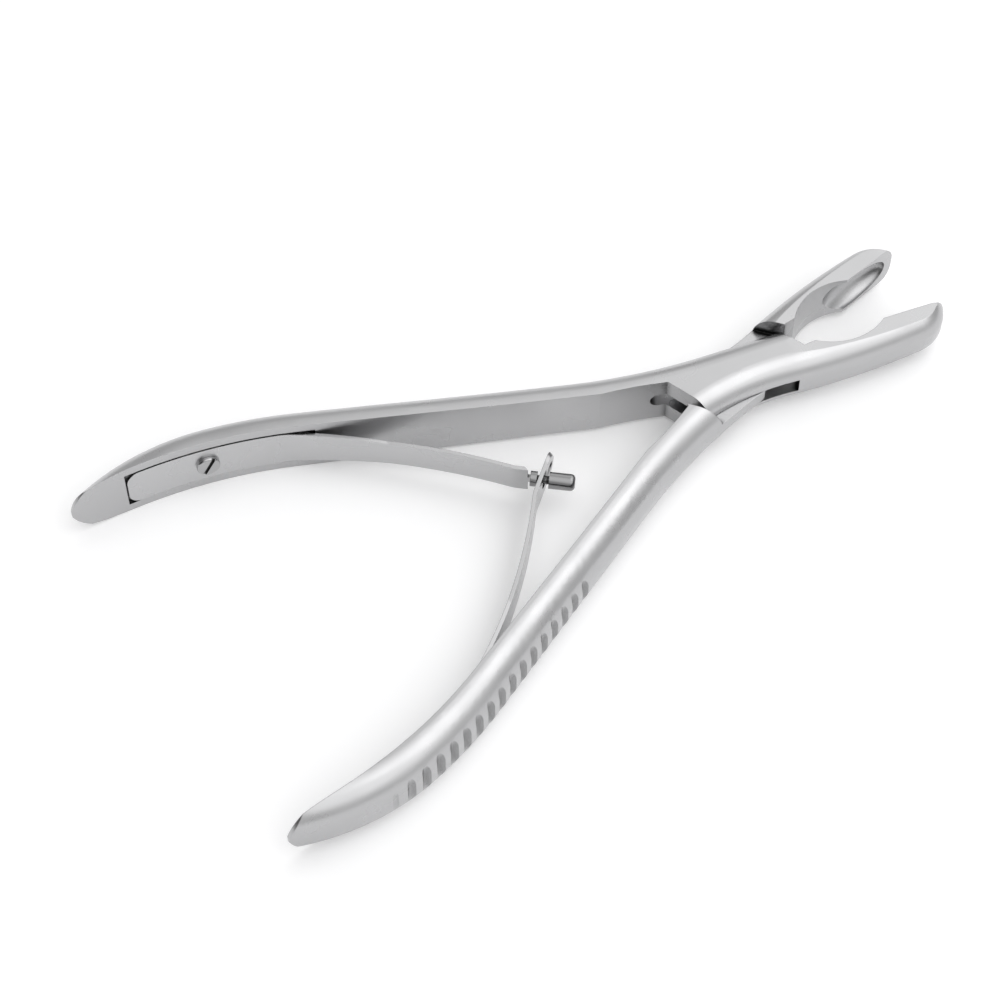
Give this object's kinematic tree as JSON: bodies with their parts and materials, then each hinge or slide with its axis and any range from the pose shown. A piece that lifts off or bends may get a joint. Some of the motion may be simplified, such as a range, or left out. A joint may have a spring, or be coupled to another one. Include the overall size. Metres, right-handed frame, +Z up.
{
  "type": "bone rongeur",
  "caption": "Hand-squeezed bone rongeur with a box-lock pivot and cupped jaws for nibbling away bone, pushed open by leaf springs that meet in a barrel and eye.",
  "frame": {"origin": "where the joint's axis meets the table that the instrument lies on", "axes": "+X from the joint towards the jaws, +Y towards the handle of the slotted half, +Z up along the joint's axis"},
  "size_m": [0.1698, 0.0898, 0.0127],
  "materials": {
    "satin_steel": "satin",
    "spring_steel": "satin",
    "polished_steel": "polished"
  },
  "bodies": {
    "slotted_side": {"box_half": "satin_steel", "joint_pin": "satin_steel", "barrel_leaf": "spring_steel", "spring_barrel": "polished_steel", "barrel_leaf_screw": "polished_steel"},
    "neck_side": {"male_half": "satin_steel", "eye_leaf": "spring_steel", "eye_leaf_screw": "polished_steel"}
  },
  "joints": [
    {"name": "box_lock", "type": "hinge", "parent": "slotted_side", "child": "neck_side", "pos_m": [0, 0, 0], "axis": [0, 0, -1], "range_deg": [0, 20.5], "stiffness_Nm_per_rad": 2.1, "springref_deg": -2.86, "deforming": ["barrel_leaf", "eye_leaf", "spring_barrel"]}
  ]
}
